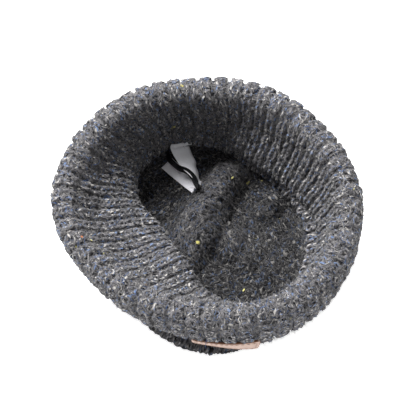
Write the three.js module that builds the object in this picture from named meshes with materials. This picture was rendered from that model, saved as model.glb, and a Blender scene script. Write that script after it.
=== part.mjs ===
import * as THREE from 'three';

// Knit hat resting on its crown with the opening up and the brim turned out into a cuff.
// Millimetres, Z up, front towards -Y.

// Outline of the whole hat
const rimWidth = 171;       // middle of the turned-over rim, left to right
const rimDepth = 153.6;     // the same, front to back
const rimRise = 77;         // centre of the rim's turn above the ground, at the back
const baseWidth = 126;      // rounded edge of the crown where it rests, left to right
const baseDepth = 145;      // the same, front to back
const baseAside = 4;        // the crown rests this far to the right of the rim's middle
const baseBack = 3.6;       // and this far behind it

// The knit
const fabric = 5.2;         // thickness of the chunky knit
const ribs = 52;            // raised ribs around the brim
const ribDepth = 1.0;       // how far a rib stands out of the middle of the knit
const turnGap = 4.3;        // room between the two layers of the cuff
const turnDown = 6;         // how far the turned-over rim reaches down the inside
const cuffDrop = 44;        // from the rim's turn down to the cuff's free edge
const wallLength = 64;      // ribbed inner wall, from the rim's turn to the crown
const heelRound = 12;       // rounding of the crown's edge at the back
const seam = 0.5;           // clearance between neighbouring pieces

// Fold of loose cloth lying across the inside of the crown
const ridgeHeight = 16;
const ridgeWidth = 30;

// Leather patch on the cuff and the three sewn-in labels
const patchWidth = 41;
const patchHeight = 19;
const patchThickness = 1.6;
const patchRise = 2;        // from the cuff's free edge up to the patch
const patchAngle = 279;     // middle of the patch, degrees from +X
const ribbonThickness = 1;
const careWidth = 15;
const ribbonWidth = 10;
const stripWidth = 10;

// One row for every 30 degrees, from +X towards +Y.
// rim, heel and belly are reaches as shares of the ovals of the rim, the base and the rim.
// foot is a share of the heel's reach, round a share of heelRound.
// rise is a share of rimRise, bellyRise a share of that rim's own rise.
// lean is the cuff's inward slope in degrees, swell its outward bulge as a share of cuffDrop.
const rows = [
  { rim: 1.010, rise: 0.96, heel: 1.03, foot: 0.98, round: 0.95, belly: 0.85, bellyRise: 0.42, lean: 7, swell: 0.02 },
  { rim: 0.985, rise: 0.99, heel: 1.01, foot: 0.98, round: 1.00, belly: 0.81, bellyRise: 0.37, lean: 4, swell: 0.02 },
  { rim: 1.030, rise: 1.00, heel: 0.94, foot: 0.98, round: 1.00, belly: 0.79, bellyRise: 0.38, lean: 0, swell: 0.02 },
  { rim: 1.020, rise: 1.00, heel: 1.03, foot: 0.99, round: 1.00, belly: 0.96, bellyRise: 0.45, lean: -4, swell: 0.02 },
  { rim: 1.035, rise: 0.99, heel: 1.09, foot: 0.98, round: 1.00, belly: 0.97, bellyRise: 0.45, lean: -3, swell: 0.02 },
  { rim: 1.010, rise: 0.95, heel: 1.07, foot: 0.95, round: 0.85, belly: 0.70, bellyRise: 0.42, lean: 4, swell: 0.02 },
  { rim: 0.995, rise: 0.83, heel: 0.95, foot: 0.88, round: 0.60, belly: 0.40, bellyRise: 0.46, lean: 12, swell: 0.03 },
  { rim: 0.880, rise: 0.74, heel: 0.88, foot: 0.82, round: 0.45, belly: 0.40, bellyRise: 0.52, lean: 14, swell: 0.04 },
  { rim: 0.855, rise: 0.73, heel: 0.92, foot: 0.80, round: 0.38, belly: 0.45, bellyRise: 0.54, lean: 13, swell: 0.06 },
  { rim: 0.895, rise: 0.74, heel: 1.00, foot: 0.80, round: 0.38, belly: 0.70, bellyRise: 0.48, lean: 11, swell: 0.06 },
  { rim: 0.990, rise: 0.79, heel: 1.04, foot: 0.88, round: 0.38, belly: 0.83, bellyRise: 0.42, lean: 7, swell: 0.03 },
  { rim: 1.010, rise: 0.87, heel: 1.05, foot: 0.94, round: 0.60, belly: 0.85, bellyRise: 0.42, lean: 4, swell: 0.02 },
];

// The two folds on the crown's floor. across and along are shares of half the base's width
// and depth, high and wide are shares of ridgeHeight and ridgeWidth.
const folds = [
  [
    { across: 0.30, along: 0.76, high: 0.75, wide: 0.60 },
    { across: 0.20, along: 0.69, high: 1.00, wide: 0.70 },
    { across: 0.07, along: 0.52, high: 1.05, wide: 0.78 },
    { across: -0.05, along: 0.28, high: 1.00, wide: 0.90 },
    { across: -0.17, along: 0.06, high: 0.90, wide: 1.00 },
    { across: -0.28, along: -0.10, high: 0.60, wide: 0.90 },
    { across: -0.36, along: -0.20, high: 0.25, wide: 0.70 },
  ],
  [
    { across: 0.12, along: 0.16, high: 0.25, wide: 0.50 },
    { across: 0.22, along: 0.03, high: 0.36, wide: 0.70 },
    { across: 0.34, along: -0.08, high: 0.16, wide: 0.70 },
  ],
];

// Middle lines of the labels from the sewn end to the free end. across and along are shares
// of half the base's width and depth, up is a share of rimRise, tip turns the width upright.
const careLine = [
  { across: -0.090, along: 0.555, up: 0.262, tip: 96 },
  { across: -0.125, along: 0.660, up: 0.262, tip: 114 },
  { across: -0.190, along: 0.780, up: 0.262, tip: 138 },
  { across: -0.255, along: 0.880, up: 0.275, tip: 162 },
  { across: -0.275, along: 0.925, up: 0.325, tip: 172 },
];
const ribbonLine = [
  { across: -0.178, along: 0.495, up: 0.236, tip: 88 },
  { across: -0.182, along: 0.573, up: 0.232, tip: 84 },
  { across: -0.238, along: 0.662, up: 0.228, tip: 80 },
  { across: -0.332, along: 0.728, up: 0.228, tip: 80 },
  { across: -0.417, along: 0.820, up: 0.230, tip: 82 },
  { across: -0.455, along: 0.895, up: 0.256, tip: 88 },
];
const stripLine = [
  { across: -0.118, along: 0.552, up: 0.142, tip: -14 },
  { across: -0.240, along: 0.658, up: 0.124, tip: -12 },
  { across: -0.366, along: 0.762, up: 0.120, tip: -13 },
  { across: -0.488, along: 0.862, up: 0.130, tip: -16 },
];

const wales = Math.round(ribs) * 2;
const turn = fabric + turnGap;
const floorLevel = fabric / 2;

const cloth = new THREE.MeshStandardMaterial({ color: 0x5c5e63, roughness: 0.95 });
const darkCloth = new THREE.MeshStandardMaterial({ color: 0x45474c, roughness: 0.95 });
const leather = new THREE.MeshStandardMaterial({ color: 0xc49a80, roughness: 0.7 });
const whiteSatin = new THREE.MeshStandardMaterial({ color: 0xe4e4ea, roughness: 0.5 });
const blackSatin = new THREE.MeshStandardMaterial({ color: 0x101014, roughness: 0.4 });

function spline(a, b, c, d, f) {
  return b + 0.5 * f * (c - a + f * (2 * a - 5 * b + 4 * c - d + f * (3 * (b - c) + d - a)));
}

function column(name, angle) {
  const n = rows.length;
  const x = ((angle / (2 * Math.PI)) * n % n + n) % n;
  const i = Math.floor(x);
  const v = [-1, 0, 1, 2].map((k) => rows[(i + k + n) % n][name]);
  return spline(v[0], v[1], v[2], v[3], x - i);
}

function oval(angle, width, depth) {
  return (width * depth) / 2 / Math.hypot(depth * Math.cos(angle), width * Math.sin(angle));
}

function smoothLine(points, steps) {
  const n = points.length;
  const end = (a, b) => a.map((v, k) => 2 * v - b[k]);
  const all = [end(points[0], points[1]), ...points, end(points[n - 1], points[n - 2])];
  const out = [];
  for (let i = 1; i < n; i += 1) {
    for (let s = 0; s < steps; s += 1) {
      const [a, b, c, d] = all.slice(i - 1, i + 3);
      out.push(b.map((v, k) => spline(a[k], v, c[k], d[k], s / steps)));
    }
  }
  out.push(points[n - 1]);
  return out;
}

// Section of the hat at one angle as [reach, height] pairs, from the cuff's free edge over
// the rim and down the inside to the crown's floor. Also tells where each stretch starts.
function section(angle) {
  const reach = oval(angle, rimWidth, rimDepth) * column('rim', angle);
  const rise = rimRise * column('rise', angle);
  const heel = oval(angle, baseWidth, baseDepth) * column('heel', angle);
  const foot = heel * column('foot', angle);
  const round = heelRound * column('round', angle);
  const belly = reach * column('belly', angle);
  const bellyRise = rise * column('bellyRise', angle);
  const lean = THREE.MathUtils.degToRad(column('lean', angle));
  const outer = reach + turn / 2;
  const inner = reach - turn / 2;
  const edge = [outer - cuffDrop * Math.sin(lean), rise - cuffDrop * Math.cos(lean)];
  const middle = [outer - (outer - edge[0]) * 0.4 + cuffDrop * column('swell', angle), (rise + edge[1]) / 2];
  const cuffLeg = smoothLine([edge, middle, [outer, rise]], 12);
  const arc = [];
  for (let i = 1; i < 12; i += 1) {
    const a = (Math.PI * i) / 12;
    arc.push([reach + (turn / 2) * Math.cos(a), rise + (turn / 2) * Math.sin(a)]);
  }
  const footRise = (floorLevel + round) * 0.65 + (bellyRise - 6) * 0.35;
  const tuck = Math.min(Math.max((inner - belly) / 30, 0), 1) * 3;
  const innerLeg = smoothLine([
    [inner, rise],
    [inner - (inner - belly) * 0.3, rise - (rise - bellyRise) * 0.42],
    [belly + tuck, bellyRise + 6],
    [belly, bellyRise],
    [belly + tuck, bellyRise - 6],
    [foot, footRise],
    [foot * 0.3 + heel * 0.7, footRise * 0.3 + (floorLevel + round) * 0.7],
    [heel, floorLevel + round],
    [heel - round * 0.29, floorLevel + round * 0.29],
    [heel - round, floorLevel],
    [heel - round - 6, floorLevel],
  ], 10);
  const line = [...cuffLeg, ...arc, ...innerLeg];
  const along = [0];
  for (let i = 1; i < line.length; i += 1) {
    along.push(along[i - 1] + Math.hypot(line[i][0] - line[i - 1][0], line[i][1] - line[i - 1][1]));
  }
  const wallStart = along[cuffLeg.length + arc.length];
  return {
    line,
    along,
    rise,
    rimStart: along[cuffLeg.length - 1],
    wallStart,
    wallEnd: Math.min(wallStart + wallLength, along[cuffLeg.length + arc.length + 45]),
    floorStart: along[line.length - 1],
  };
}

function onLine(cut, s) {
  const { line, along } = cut;
  let i = 1;
  while (i < line.length - 1 && along[i] < s) i += 1;
  const f = (s - along[i - 1]) / (along[i] - along[i - 1]);
  return line[i].map((v, k) => line[i - 1][k] + (v - line[i - 1][k]) * f);
}

// Point of the knit at a distance s along the section, offset by lift from its middle.
// Positive lift is the outside of the cuff and the inside of the wall and the crown.
function onSection(cut, s, lift) {
  const p = onLine(cut, s);
  const a = onLine(cut, s - 0.8);
  const b = onLine(cut, s + 0.8);
  const l = Math.hypot(b[0] - a[0], b[1] - a[1]);
  return [p[0] + ((b[1] - a[1]) / l) * lift, p[1] - ((b[0] - a[0]) / l) * lift];
}

function place(cut, angle, point) {
  const low = 1 - Math.min(Math.max(point[1] / cut.rise, 0), 1);
  return new THREE.Vector3(
    point[0] * Math.cos(angle) + baseAside * low,
    point[0] * Math.sin(angle) + baseBack * low,
    Math.max(point[1], 0),
  );
}

function foldLift(x, y) {
  let top = 0;
  for (const fold of folds) {
    for (let i = 1; i < fold.length; i += 1) {
      const [a, b] = [fold[i - 1], fold[i]];
      const [ax, ay] = [baseAside + (a.across * baseWidth) / 2, baseBack + (a.along * baseDepth) / 2];
      const [bx, by] = [baseAside + (b.across * baseWidth) / 2, baseBack + (b.along * baseDepth) / 2];
      const span = (bx - ax) ** 2 + (by - ay) ** 2;
      const t = Math.min(Math.max(((x - ax) * (bx - ax) + (y - ay) * (by - ay)) / span, 0), 1);
      const away = Math.hypot(x - ax - (bx - ax) * t, y - ay - (by - ay) * t);
      const wide = (ridgeWidth / 2) * (a.wide + (b.wide - a.wide) * t) * 1.4;
      const near = 1 - Math.min(away / wide, 1) ** 2;
      top = Math.max(top, ridgeHeight * (a.high + (b.high - a.high) * t) * near * near);
    }
  }
  return top;
}

class Shell {
  constructor() {
    this.points = [];
    this.faces = [];
  }

  ring(points) {
    const start = this.points.length;
    this.points.push(...points);
    return points.map((p, i) => start + i);
  }

  quad(a, b, c, d) {
    this.faces.push(a, b, c, a, c, d);
  }

  // Joins two closed rings, the second with as many points as the first or half as many.
  join(upper, lower, flip) {
    const n = upper.length;
    const put = (a, b, c) => (flip ? this.faces.push(a, c, b) : this.faces.push(a, b, c));
    if (lower.length === n) {
      for (let i = 0; i < n; i += 1) {
        const k = (i + 1) % n;
        put(upper[i], upper[k], lower[k]);
        put(upper[i], lower[k], lower[i]);
      }
      return;
    }
    for (let i = 0; i < lower.length; i += 1) {
      const k = (i + 1) % lower.length;
      put(upper[2 * i], upper[2 * i + 1], lower[i]);
      put(upper[2 * i + 1], upper[(2 * i + 2) % n], lower[k]);
      put(upper[2 * i + 1], lower[k], lower[i]);
    }
  }

  mesh(name, material) {
    const geometry = new THREE.BufferGeometry();
    geometry.setAttribute('position', new THREE.Float32BufferAttribute(this.points.flatMap((p) => p.toArray()), 3));
    geometry.setIndex(this.faces);
    geometry.computeVertexNormals();
    const mesh = new THREE.Mesh(geometry, material);
    mesh.name = name;
    return mesh;
  }
}

const cuts = [];
for (let j = 0; j < wales; j += 1) {
  const angle = (2 * Math.PI * j) / wales;
  cuts.push({ angle, rib: j % 2 === 0 ? ribDepth : -ribDepth, ...section(angle) });
}

function steps(from, to, count) {
  return Array.from({ length: count + 1 }, (unused, i) => from + ((to - from) * i) / count);
}

// Ribbed band through places along the section, each a function of the cut.
function makeBand(name, places) {
  const shell = new Shell();
  const outer = [];
  const under = [];
  for (const where of places) {
    outer.push(shell.ring(cuts.map((cut) => place(cut, cut.angle, onSection(cut, where(cut), cut.rib + fabric / 2)))));
    under.push(shell.ring(cuts.map((cut) => place(cut, cut.angle, onSection(cut, where(cut), cut.rib - fabric / 2)))));
  }
  for (let i = 1; i < places.length; i += 1) {
    shell.join(outer[i - 1], outer[i], false);
    shell.join(under[i - 1], under[i], true);
  }
  shell.join(under[0], outer[0], false);
  shell.join(under[places.length - 1], outer[places.length - 1], true);
  return shell.mesh(name, cloth);
}

// The cuff's turned-up layer with the turn of the rim.
function makeCuff() {
  return makeBand('cuff', [
    ...steps(0, 1, 5).map((f) => (cut) => cut.rimStart * f),
    ...steps(0, 1, 5).slice(1).map((f) => (cut) => (
      cut.rimStart + (cut.wallStart + turnDown - seam / 2 - cut.rimStart) * f
    )),
  ]);
}

// The wall behind the cuff, from the rim's turn down to the crown.
function makeWall() {
  return makeBand('wall', [0, 0.32, 0.58, 0.8, 1].map((f) => (cut) => {
    const start = cut.wallStart + turnDown + seam / 2;
    return start + (cut.wallEnd - seam / 2 - start) * f;
  }));
}

// Plain-knit crown: the last of the wall, its rounded edge and the floor with its folds.
function makeCrown() {
  const shell = new Shell();
  const inside = [];
  const outside = [];
  for (const f of steps(0, 1, 6)) {
    const where = (cut) => {
      const start = cut.wallEnd + seam / 2;
      return start + (cut.floorStart - 2 - start) * f;
    };
    inside.push(shell.ring(cuts.map((cut) => place(cut, cut.angle, onSection(cut, where(cut), fabric / 2)))));
    outside.push(shell.ring(cuts.map((cut) => place(cut, cut.angle, onSection(cut, where(cut), -fabric / 2)))));
  }
  const half = cuts.filter((cut, j) => j % 2 === 0);
  for (const f of steps(1, 0, 9).slice(0, 9)) {
    const points = half.map((cut) => {
      const reach = onLine(cut, cut.floorStart)[0] * f;
      const x = reach * Math.cos(cut.angle) + baseAside;
      const y = reach * Math.sin(cut.angle) + baseBack;
      return new THREE.Vector3(x, y, f < 1 ? foldLift(x, y) : 0);
    });
    inside.push(shell.ring(points.map((p) => new THREE.Vector3(p.x, p.y, p.z + fabric))));
    outside.push(shell.ring(points));
  }
  for (let i = 1; i < inside.length; i += 1) {
    shell.join(inside[i - 1], inside[i], false);
    shell.join(outside[i - 1], outside[i], true);
  }
  const lift = foldLift(baseAside, baseBack);
  const top = shell.ring([new THREE.Vector3(baseAside, baseBack, lift + fabric)])[0];
  const bottom = shell.ring([new THREE.Vector3(baseAside, baseBack, lift)])[0];
  const last = inside.length - 1;
  for (let i = 0; i < half.length; i += 1) {
    const k = (i + 1) % half.length;
    shell.faces.push(inside[last][i], inside[last][k], top);
    shell.faces.push(outside[last][i], bottom, outside[last][k]);
  }
  shell.join(outside[0], inside[0], false);
  return shell.mesh('crown', darkCloth);
}

// Leather patch, curved with the cuff it lies on.
function makePatch() {
  const shell = new Shell();
  const middle = THREE.MathUtils.degToRad(patchAngle);
  const near = ribDepth + fabric / 2 + seam;
  const reach = oval(middle, rimWidth, rimDepth) * column('rim', middle) + turn / 2 + near;
  const spread = patchWidth / reach;
  const grid = [near, near + patchThickness].map((lift) => steps(0, 1, 3).map((v) => (
    shell.ring(steps(-0.5, 0.5, 14).map((u) => {
      const angle = middle + spread * u;
      const cut = section(angle);
      return place(cut, angle, onSection(cut, patchRise + patchHeight * v, lift));
    }))
  )));
  const [back, face] = grid;
  for (let v = 1; v < face.length; v += 1) {
    for (let u = 1; u < face[0].length; u += 1) {
      shell.quad(face[v - 1][u - 1], face[v - 1][u], face[v][u], face[v][u - 1]);
      shell.quad(back[v - 1][u - 1], back[v][u - 1], back[v][u], back[v - 1][u]);
    }
  }
  const top = face.length - 1;
  const end = face[0].length - 1;
  for (let u = 1; u <= end; u += 1) {
    shell.quad(back[0][u - 1], back[0][u], face[0][u], face[0][u - 1]);
    shell.quad(face[top][u - 1], face[top][u], back[top][u], back[top][u - 1]);
  }
  for (let v = 1; v <= top; v += 1) {
    shell.quad(back[v][0], back[v - 1][0], face[v - 1][0], face[v][0]);
    shell.quad(back[v - 1][end], back[v][end], face[v][end], face[v - 1][end]);
  }
  return shell.mesh('patch', leather);
}

// Label ribbon swept along its middle line, turned about that line by each row's tip.
function makeRibbon(name, line, width, material) {
  const shell = new Shell();
  const points = smoothLine(line.map((row) => [
    baseAside + (row.across * baseWidth) / 2,
    baseBack + (row.along * baseDepth) / 2,
    row.up * rimRise,
    row.tip,
  ]), 3);
  const rings = points.map((p, i) => {
    const a = points[Math.max(i - 1, 0)];
    const b = points[Math.min(i + 1, points.length - 1)];
    const ahead = new THREE.Vector3(b[0] - a[0], b[1] - a[1], b[2] - a[2]).normalize();
    const level = new THREE.Vector3(-ahead.y, ahead.x, 0).normalize();
    const upright = new THREE.Vector3().crossVectors(ahead, level);
    const tip = THREE.MathUtils.degToRad(p[3]);
    const across = level.multiplyScalar(Math.cos(tip)).addScaledVector(upright, Math.sin(tip));
    const thick = new THREE.Vector3().crossVectors(ahead, across);
    return shell.ring([[1, 1], [-1, 1], [-1, -1], [1, -1]].map(([u, v]) => (
      new THREE.Vector3(p[0], p[1], p[2])
        .addScaledVector(across, (u * width) / 2)
        .addScaledVector(thick, (v * ribbonThickness) / 2)
    )));
  });
  for (let i = 1; i < rings.length; i += 1) {
    shell.join(rings[i - 1], rings[i], false);
  }
  const last = rings[rings.length - 1];
  shell.quad(rings[0][3], rings[0][2], rings[0][1], rings[0][0]);
  shell.quad(last[0], last[1], last[2], last[3]);
  return shell.mesh(name, material);
}

const hat = new THREE.Group();
hat.name = 'knit_hat';
hat.add(makeCuff());
hat.add(makeWall());
hat.add(makeCrown());
hat.add(makePatch());
hat.add(makeRibbon('care_label', careLine, careWidth, whiteSatin));
hat.add(makeRibbon('ribbon_label', ribbonLine, ribbonWidth, blackSatin));
hat.add(makeRibbon('size_label', stripLine, stripWidth, whiteSatin));

// The origin lies at the middle of the hat's footprint, on the ground.
const box = new THREE.Box3();
for (const mesh of hat.children) {
  mesh.geometry.computeBoundingBox();
  box.union(mesh.geometry.boundingBox);
}
for (const mesh of hat.children) {
  mesh.geometry.translate(-(box.min.x + box.max.x) / 2, -(box.min.y + box.max.y) / 2, -box.min.z);
}

export default hat;
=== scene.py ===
import math

import bpy
import numpy as np
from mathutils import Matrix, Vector


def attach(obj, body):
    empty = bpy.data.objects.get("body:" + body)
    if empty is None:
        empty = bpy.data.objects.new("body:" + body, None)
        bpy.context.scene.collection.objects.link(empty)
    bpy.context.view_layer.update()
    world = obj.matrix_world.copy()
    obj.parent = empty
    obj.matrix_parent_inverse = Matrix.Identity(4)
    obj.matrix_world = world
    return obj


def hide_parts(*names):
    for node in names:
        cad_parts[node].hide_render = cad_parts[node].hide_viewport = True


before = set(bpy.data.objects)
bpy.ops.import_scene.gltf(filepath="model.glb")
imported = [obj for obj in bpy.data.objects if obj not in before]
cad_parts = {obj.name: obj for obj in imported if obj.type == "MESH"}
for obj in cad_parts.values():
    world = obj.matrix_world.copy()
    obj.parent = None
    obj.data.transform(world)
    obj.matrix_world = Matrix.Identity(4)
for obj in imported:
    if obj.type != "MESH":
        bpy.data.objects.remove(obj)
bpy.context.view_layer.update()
scene = bpy.context.scene
dice = np.random.default_rng(52)
print("frame loaded:", ", ".join(sorted(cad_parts)))

# The hat's form in metres and degrees, close to the solids. It has a wider heel at the front,
# two folds more and low lumps.
hatForm = {
    "rimWidth": 0.171, "rimDepth": 0.1536, "rimRise": 0.077,
    "baseWidth": 0.126, "baseDepth": 0.145, "baseAside": 0.004, "baseBack": 0.0036,
    "fabric": 0.0052, "turnGap": 0.0043, "cuffDrop": 0.044, "wallLength": 0.064,
    "heelRound": 0.012, "ridgeHeight": 0.0185, "ridgeWidth": 0.029, "lump": 0.0009,
    "bellyHalf": 0.006, "bellyTuck": 0.003, "tuckOver": 0.030, "runIn": 0.03,
    "shiftX": -0.000684, "shiftY": -0.006625,
}
rowNames = ("rim", "rise", "heel", "foot", "round", "belly", "bellyRise", "lean", "swell")
hatRows = (  # one for every 30 degrees, from +X towards +Y
    (1.010, 0.96, 1.03, 0.98, 0.95, 0.85, 0.42, 7, 0.02),
    (0.985, 0.99, 1.01, 0.98, 1.00, 0.81, 0.37, 4, 0.02),
    (1.030, 1.00, 0.94, 0.98, 1.00, 0.79, 0.38, 0, 0.02),
    (1.020, 1.00, 1.03, 0.99, 1.00, 0.96, 0.45, -4, 0.02),
    (1.035, 0.99, 1.09, 0.98, 1.00, 0.97, 0.45, -3, 0.02),
    (1.010, 0.95, 1.07, 0.95, 0.85, 0.70, 0.42, 4, 0.02),
    (0.995, 0.83, 0.95, 0.88, 0.60, 0.40, 0.46, 12, 0.03),
    (0.880, 0.74, 0.96, 0.82, 0.45, 0.40, 0.52, 14, 0.04),
    (0.855, 0.73, 0.99, 0.80, 0.38, 0.45, 0.54, 13, 0.06),
    (0.895, 0.74, 1.02, 0.80, 0.38, 0.70, 0.48, 11, 0.06),
    (0.990, 0.79, 1.04, 0.88, 0.38, 0.83, 0.42, 7, 0.03),
    (1.010, 0.87, 1.05, 0.94, 0.60, 0.85, 0.42, 4, 0.02),
)
# across and along are shares of half the base, height and width are shares of the ridge's
hatFolds = (
    ((0.30, 0.76, 0.75, 0.60), (0.20, 0.69, 1.00, 0.70), (0.07, 0.52, 1.05, 0.78), (-0.05, 0.28, 1.00, 0.90),
     (-0.17, 0.06, 0.90, 1.00), (-0.28, -0.10, 0.60, 0.90), (-0.36, -0.20, 0.25, 0.70)),
    ((0.12, 0.16, 0.25, 0.50), (0.22, 0.03, 0.36, 0.70), (0.34, -0.08, 0.16, 0.70)),
    ((1.02, 0.66, 0.90, 0.90), (0.86, 0.58, 0.85, 0.85), (0.70, 0.50, 0.60, 0.75), (0.60, 0.38, 0.25, 0.60)),
    ((0.60, 1.02, 0.85, 0.55), (0.46, 0.90, 0.80, 0.55), (0.36, 0.82, 0.80, 0.55)),
)
knitRows = {"flap": 13, "turn": 5, "wall": 19, "heel": 8, "floor": 17, "wales": 104}  # stitch rows
turnWidth = hatForm["fabric"] + hatForm["turnGap"]
floorLevel = hatForm["fabric"] / 2
tableAngles, rowSteps = 416, 4
lineSteps, wallSteps = 12, 10


def spline(a, b, c, d, f):
    return b + 0.5 * f * (c - a + f * (2 * a - 5 * b + 4 * c - d + f * (3 * (b - c) + d - a)))


def column(name, angle):
    values = np.array([row[rowNames.index(name)] for row in hatRows])
    x = np.mod(angle / (2 * np.pi) * 12, 12)
    i = np.floor(x).astype(int)
    a, b, c, d = (values[(i + k) % 12] for k in (-1, 0, 1, 2))
    return spline(a, b, c, d, x - i)


def oval(angle, width, depth):
    return width * depth / 2 / np.hypot(depth * np.cos(angle), width * np.sin(angle))


def smoothLine(points, steps):
    ends = [2 * points[0] - points[1]] + points + [2 * points[-1] - points[-2]]
    line = []
    for i in range(1, len(points)):
        a, b, c, d = ends[i - 1:i + 3]
        line += [spline(a, b, c, d, s / steps) for s in range(steps)]
    return line + [points[-1]]


def foldLift(x, y):
    top = np.zeros_like(x)
    halfWidth, halfDepth = hatForm["baseWidth"] / 2, hatForm["baseDepth"] / 2
    for fold in hatFolds:
        for a, b in zip(fold, fold[1:]):
            ax, ay = hatForm["baseAside"] + a[0] * halfWidth, hatForm["baseBack"] + a[1] * halfDepth
            bx, by = hatForm["baseAside"] + b[0] * halfWidth, hatForm["baseBack"] + b[1] * halfDepth
            t = ((x - ax) * (bx - ax) + (y - ay) * (by - ay)) / ((bx - ax) ** 2 + (by - ay) ** 2)
            t = np.clip(t, 0, 1)
            away = np.hypot(x - ax - (bx - ax) * t, y - ay - (by - ay) * t)
            aside = (bx - ax) * (y - ay) - (by - ay) * (x - ax)
            aside = aside / (math.hypot(bx - ax, by - ay) * (away + 1e-6))
            steep = 0.5 + 0.5 * aside  # every fold drops off more sharply on its left
            wide = hatForm["ridgeWidth"] / 2 * (a[3] + (b[3] - a[3]) * t) * (1.6 - 0.45 * steep)
            near = 1 - np.minimum(away / wide, 1) ** 2
            high = hatForm["ridgeHeight"] * (a[2] + (b[2] - a[2]) * t)
            top = np.maximum(top, high * near ** (1.4 - 0.5 * steep))
    lumps = np.sin(x * 210 + 1.3 * np.sin(y * 160)) * np.sin(y * 190 + 0.7) + 0.6 * np.sin(x * 330 - y * 270 + 2)
    return top + hatForm["lump"] * (lumps + 1)


def makeTable():
    angle = np.arange(tableAngles) / tableAngles * 2 * np.pi
    pair = lambda r, z: np.stack([r + 0 * angle, z + 0 * angle], -1)
    reach = oval(angle, hatForm["rimWidth"], hatForm["rimDepth"]) * column("rim", angle)
    rise = hatForm["rimRise"] * column("rise", angle)
    heel = oval(angle, hatForm["baseWidth"], hatForm["baseDepth"]) * column("heel", angle)
    foot = heel * column("foot", angle)
    curl = hatForm["heelRound"] * column("round", angle)
    belly = reach * column("belly", angle)
    bellyRise = rise * column("bellyRise", angle)
    lean = np.radians(column("lean", angle))
    outer, inner = reach + turnWidth / 2, reach - turnWidth / 2
    drop = hatForm["cuffDrop"]
    edgeReach, edgeRise = outer - drop * np.sin(lean), rise - drop * np.cos(lean)
    middle = pair(outer - (outer - edgeReach) * 0.4 + drop * column("swell", angle), (rise + edgeRise) / 2)
    line = smoothLine([pair(edgeReach, edgeRise), middle, pair(outer, rise)], lineSteps)
    rimAt = len(line) - 1
    for i in range(1, lineSteps):
        a = math.pi * i / lineSteps
        line.append(pair(reach + turnWidth / 2 * math.cos(a), rise + turnWidth / 2 * math.sin(a)))
    wallAt = len(line)
    heelRise, half = floorLevel + curl, hatForm["bellyHalf"]
    footRise = heelRise * 0.65 + (bellyRise - half) * 0.35
    tuck = np.clip((inner - belly) / hatForm["tuckOver"], 0, 1) * hatForm["bellyTuck"]
    line += smoothLine([
        pair(inner, rise), pair(inner - (inner - belly) * 0.3, rise - (rise - bellyRise) * 0.42),
        pair(belly + tuck, bellyRise + half), pair(belly, bellyRise), pair(belly + tuck, bellyRise - half),
        pair(foot, footRise), pair(foot * 0.3 + heel * 0.7, footRise * 0.3 + heelRise * 0.7),
        pair(heel, heelRise), pair(heel - curl * 0.29, floorLevel + curl * 0.29),
        pair(heel - curl, floorLevel), pair(heel - curl - 0.006, floorLevel),
    ], wallSteps)
    line = np.stack(line, 1)
    steps = np.hypot(*np.moveaxis(np.diff(line, axis=1), -1, 0))
    along = np.concatenate([np.zeros((tableAngles, 1)), np.cumsum(steps, 1)], 1)
    footEnd = wallAt + round(4.5 * wallSteps)
    wallEnd = np.minimum(along[:, wallAt] + hatForm["wallLength"], along[:, footEnd])
    k = knitRows
    marks = np.cumsum([0, k["flap"], k["turn"], k["wall"], k["heel"]])
    rows = np.arange(marks[-1] * rowSteps + 1) / rowSteps
    points = []
    for i in range(tableAngles):
        s = np.interp(rows, marks, [0, along[i, rimAt], along[i, wallAt], wallEnd[i], along[i, -1]])
        r, z = np.interp(s, along[i], line[i, :, 0]), np.interp(s, along[i], line[i, :, 1])
        low = 1 - np.clip(z / rise[i], 0, 1)
        x = r * math.cos(angle[i]) + hatForm["baseAside"] * low
        y = r * math.sin(angle[i]) + hatForm["baseBack"] * low
        points.append(np.stack([x, y, np.maximum(z, 0)], -1))
    points = np.array(points)
    into = np.clip((rows - marks[3]) / k["heel"], 0, 1)[None]
    into = into * np.clip(1 - (points[..., 2] - floorLevel) / hatForm["runIn"], 0, 1)
    points[..., 2] += into * foldLift(points[..., 0], points[..., 1])  # the folds run out in the wall's foot
    share = 1 - np.arange(1, k["floor"] * rowSteps + 1) / (k["floor"] * rowSteps)
    ground = line[:, -1, 0][:, None] * share[None]
    x = ground * np.cos(angle)[:, None] + hatForm["baseAside"]
    y = ground * np.sin(angle)[:, None] + hatForm["baseBack"]
    points = np.concatenate([points, np.stack([x, y, foldLift(x, y) + floorLevel], -1)], 1)
    points += np.array([hatForm["shiftX"], hatForm["shiftY"], 0])
    around = np.roll(points, -1, 0) - np.roll(points, 1, 0)
    normal = np.cross(around, np.gradient(points, axis=1))
    normal[:, -1] = normal[:, -2].mean(0)
    normal /= np.linalg.norm(normal, axis=-1, keepdims=True)
    return points, normal, marks


tablePoints, tableNormals, rowMarks = makeTable()


def evenStitches(evenness):  # turns every row's angles so that its stitches come out nearly equal
    steps = np.linalg.norm(np.roll(tablePoints, -1, 0) - tablePoints, axis=-1)
    along, girth = np.cumsum(steps, 0) - steps, steps.sum(0)
    base = np.arange(tableAngles) / tableAngles * 2 * np.pi
    spread = base[:, None] * (1 - evenness) + evenness * along / girth * 2 * np.pi
    spread -= (spread - base[:, None]).mean(0)
    turns = np.empty_like(spread)
    for j in range(spread.shape[1]):
        x = np.concatenate([spread[:, j] - 2 * np.pi, spread[:, j], spread[:, j] + 2 * np.pi])
        turns[:, j] = np.interp(base, x, np.concatenate([base - 2 * np.pi, base, base + 2 * np.pi])) - base
    return turns, girth


stitchTurns, rowGirths = evenStitches(0.85)
lastRow = rowMarks[-1] + knitRows["floor"]


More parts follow.
